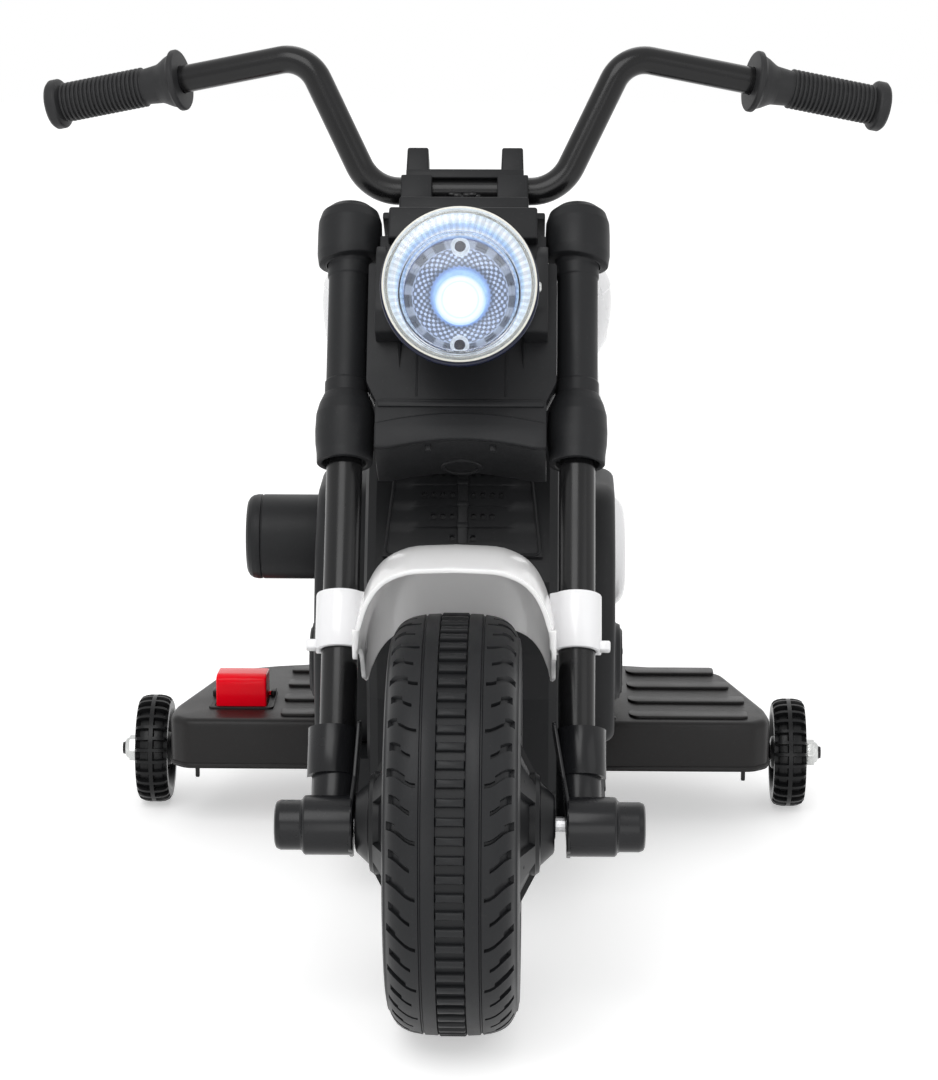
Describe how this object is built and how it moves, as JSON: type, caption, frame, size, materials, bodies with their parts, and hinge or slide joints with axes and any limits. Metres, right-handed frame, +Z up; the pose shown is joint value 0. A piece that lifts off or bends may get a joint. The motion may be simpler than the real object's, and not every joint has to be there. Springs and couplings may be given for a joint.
{
  "type": "kids ride-on motorcycle",
  "caption": "Child's battery chopper motorcycle with raked tube fork, round headlamp, high handlebars, white covers, footboards with a foot switch and side training wheels.",
  "frame": {"origin": "on the ground, midway between the front of the front tyre and the back of the rear fender, on the centre plane", "axes": "+Z up, front of the motorcycle towards -Y, the rider's left towards +X"},
  "size_m": [0.5282, 0.74, 0.5347],
  "materials": {
    "black_plastic": "fine satin grain, moulded",
    "white_gloss": "glossy moulded",
    "board_brown": "matt grained moulded",
    "black_paint": "gloss powder coat on steel tube",
    "zinc": "bright zinc plate",
    "steel": "plain turned steel",
    "battery_grey": "matt moulded",
    "gear_white": "natural nylon",
    "gloss_black": "glossy moulded",
    "tyre_black": "hard moulded tyre plastic, satin",
    "grip_black": "ribbed soft grip",
    "red_gloss": "glossy red moulded",
    "lamp_blue": "dark blue glossy moulded",
    "lamp_chrome": "bright metallised",
    "clear_lens": "clear prismatic plastic"
  },
  "bodies": {
    "chassis": {"body_shell_left": "black_plastic", "body_shell_right": "black_plastic", "front_grille": "black_plastic", "speaker": "battery_grey", "tank_cover": "white_gloss", "dash_panel": "black_plastic", "seat": "black_plastic", "rear_fender": "white_gloss", "engine_cover_left": "black_plastic", "engine_cover_right": "black_plastic", "air_cleaner": "black_plastic", "side_cover_left": "white_gloss", "side_cover_right": "white_gloss", "footboard_left": "board_brown", "footboard_right": "board_brown", "training_bracket_left": "black_paint", "training_bracket_right": "black_paint", "training_nut_left": "zinc", "training_nut_right": "zinc", "rear_axle": "steel", "gear_case": "battery_grey", "gear_case_cover": "battery_grey", "drive_motor": "steel", "battery": "battery_grey", "control_box": "gear_white", "charging_socket": "gloss_black"},
    "steering": {"fork_yoke": "black_plastic", "steering_stem": "steel", "fork_leg_left": "black_paint", "fork_leg_right": "black_paint", "fork_cover_left": "black_plastic", "fork_cover_right": "black_plastic", "axle_shoe_left": "gloss_black", "axle_shoe_right": "gloss_black", "front_axle": "steel", "front_fender": "white_gloss", "headlamp_bracket": "black_plastic", "headlamp_housing": "lamp_blue", "headlamp_reflector": "lamp_chrome", "headlamp_lens": "clear_lens", "bar_clamp_base": "black_plastic", "bar_clamp_cap": "black_plastic", "handlebar": "black_paint", "grip_left": "grip_black", "grip_right": "grip_black"},
    "front_wheel": {"front_tyre": "tyre_black", "front_hub": "black_plastic"},
    "rear_wheel": {"rear_tyre": "tyre_black", "rear_hub": "black_plastic", "output_gear": "gear_white"},
    "idler": {"idler_gear": "gear_white"},
    "motor_rotor": {"motor_pinion": "steel"},
    "training_wheel_left_body": {"training_wheel_left": "tyre_black"},
    "training_wheel_right_body": {"training_wheel_right": "tyre_black"},
    "pedal": {"drive_pedal": "red_gloss"},
    "power_rocker": {"power_switch": "gloss_black"},
    "direction_rocker": {"direction_switch": "gloss_black"},
    "button": {"sound_button": "red_gloss"}
  },
  "joints": [
    {"name": "steering_turn", "type": "hinge", "parent": "chassis", "child": "steering", "pos_m": [0, -0.21608, 0.0988], "axis": [0, 0.5299, 0.848], "range_deg": [-30, 30]},
    {"name": "front_wheel_spin", "type": "hinge", "parent": "steering", "child": "front_wheel", "pos_m": [0, -0.25, 0.12], "axis": [1, 0, 0], "continuous": true},
    {"name": "rear_wheel_spin", "type": "hinge", "parent": "chassis", "child": "rear_wheel", "pos_m": [0, 0.238, 0.12], "axis": [1, 0, 0], "continuous": true},
    {"name": "idler_spin", "type": "hinge", "parent": "chassis", "child": "idler", "pos_m": [0, 0.21999, 0.14209], "axis": [1, 0, 0], "continuous": true},
    {"name": "motor_spin", "type": "hinge", "parent": "chassis", "child": "motor_rotor", "pos_m": [0, 0.20387, 0.16185], "axis": [1, 0, 0], "continuous": true},
    {"name": "training_wheel_left_spin", "type": "hinge", "parent": "chassis", "child": "training_wheel_left_body", "pos_m": [0.218, 0.158, 0.037], "axis": [1, 0, 0], "continuous": true},
    {"name": "training_wheel_right_spin", "type": "hinge", "parent": "chassis", "child": "training_wheel_right_body", "pos_m": [-0.218, 0.158, 0.037], "axis": [1, 0, 0], "continuous": true},
    {"name": "drive_pedal_press", "type": "hinge", "parent": "chassis", "child": "pedal", "pos_m": [-0.155, 0.1475, 0.0802], "axis": [1, 0, 0], "range_deg": [0, 7], "stiffness_Nm_per_rad": 0.4, "springref_deg": -5.73},
    {"name": "power_switch_rock", "type": "hinge", "parent": "chassis", "child": "power_rocker", "pos_m": [-0.0145, 0.046, 0.4065], "axis": [1, 0, 0], "range_deg": [-8, 8]},
    {"name": "direction_switch_rock", "type": "hinge", "parent": "chassis", "child": "direction_rocker", "pos_m": [0.0145, 0.046, 0.4065], "axis": [1, 0, 0], "range_deg": [-8, 8]},
    {"name": "sound_button_press", "type": "slide", "parent": "chassis", "child": "button", "axis": [0, 0, -1], "range_m": [0, 0.0015], "stiffness_N_per_m": 300, "springref_m": -0.001}
  ],
  "couplings": [
    {"joint": "idler_spin", "follows": "rear_wheel_spin", "ratio": -2.8},
    {"joint": "motor_spin", "follows": "rear_wheel_spin", "ratio": 6.72}
  ]
}
